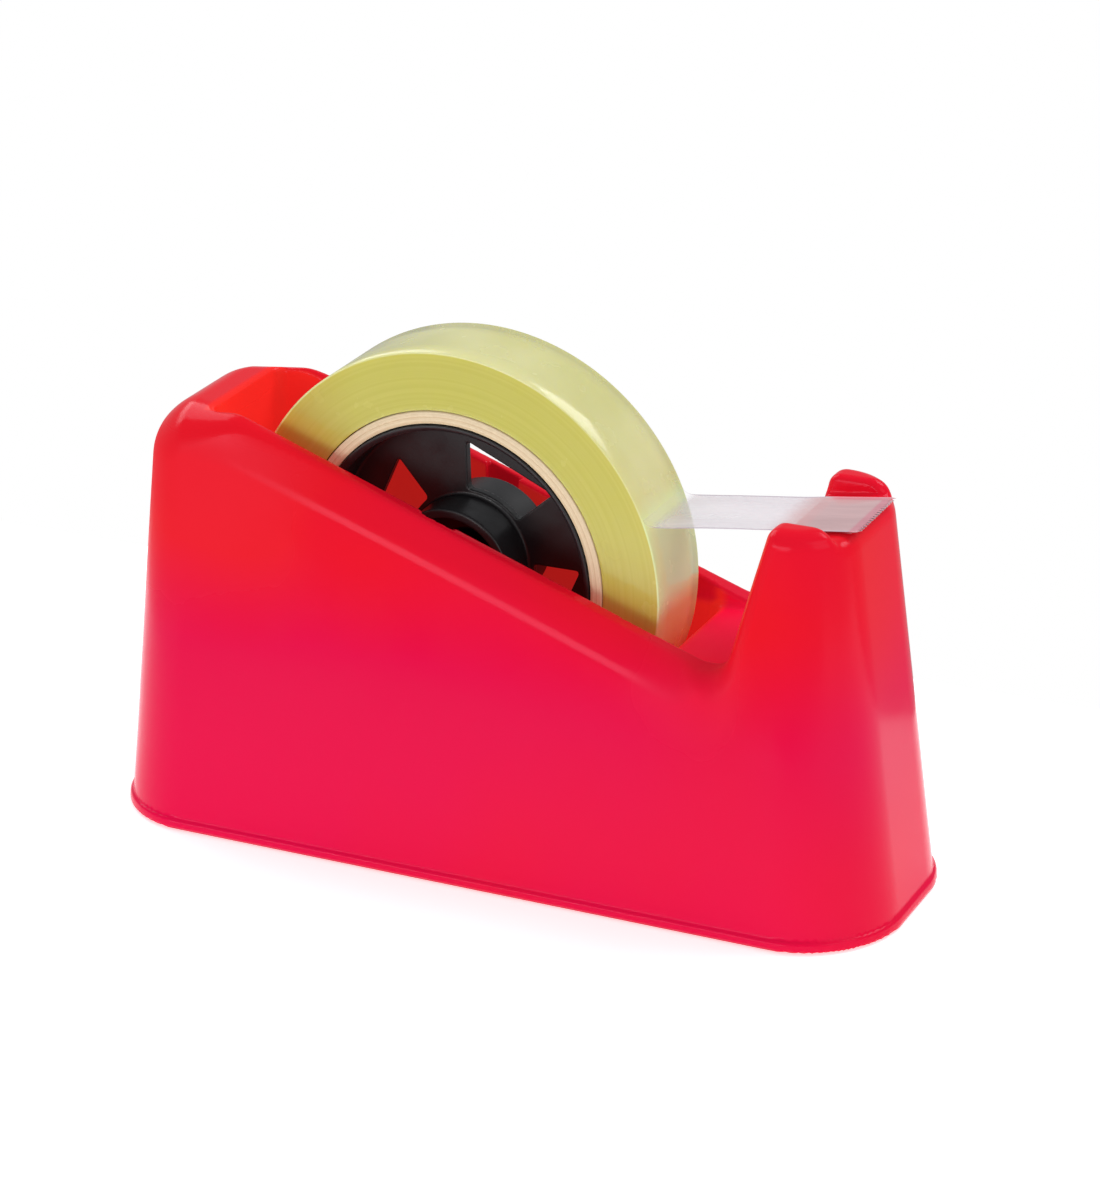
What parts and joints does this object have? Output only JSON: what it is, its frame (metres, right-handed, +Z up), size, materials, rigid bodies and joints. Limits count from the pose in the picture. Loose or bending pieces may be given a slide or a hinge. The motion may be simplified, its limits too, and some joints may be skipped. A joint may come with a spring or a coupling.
{
  "type": "tape dispenser",
  "caption": "Weighted desk dispenser for 24 mm adhesive tape: moulded shell with a roll well, spoked wheel on a lift-out axle, and a serrated blade on a front tower.",
  "frame": {"origin": "on the table at the middle of the base", "axes": "+X from the roll towards the blade, +Y across the tape, +Z up"},
  "size_m": [0.2146, 0.0702, 0.1318],
  "materials": {
    "shell_red": "glossy injection-moulded ABS",
    "reel_black": "satin moulded black plastic",
    "cover_black": "fine-grained moulded plastic",
    "ballast_iron": "rough cast",
    "blade_steel": "rolled strip with stamped teeth",
    "axle_steel": "turned pin",
    "screw_steel": "zinc-plated",
    "foot_rubber": "matt",
    "core_board": "spiral-wound board",
    "tape_amber": "wound clear film with yellowed adhesive, smooth",
    "tape_film": "single clear film"
  },
  "bodies": {
    "base": {"housing": "shell_red", "bottom_cover": "cover_black", "ballast_slab": "ballast_iron", "ballast_block": "ballast_iron", "cutter_blade": "blade_steel", "cover_screw_1": "screw_steel", "cover_screw_2": "screw_steel", "cover_screw_3": "screw_steel", "cover_screw_4": "screw_steel", "foot_1": "foot_rubber", "foot_2": "foot_rubber", "foot_3": "foot_rubber", "foot_4": "foot_rubber"},
    "axle": {"axle": "axle_steel", "tape_strand": "tape_film"},
    "wheel": {"reel": "reel_black", "paper_core": "core_board", "tape_roll": "tape_amber"}
  },
  "joints": [
    {"name": "axle_lift", "type": "slide", "parent": "base", "child": "axle", "axis": [0, 0, 1], "range_m": [0, 0.025]},
    {"name": "reel_spin", "type": "hinge", "parent": "axle", "child": "wheel", "pos_m": [-0.0129, 0, 0.0753], "axis": [0, 1, 0], "continuous": true}
  ]
}
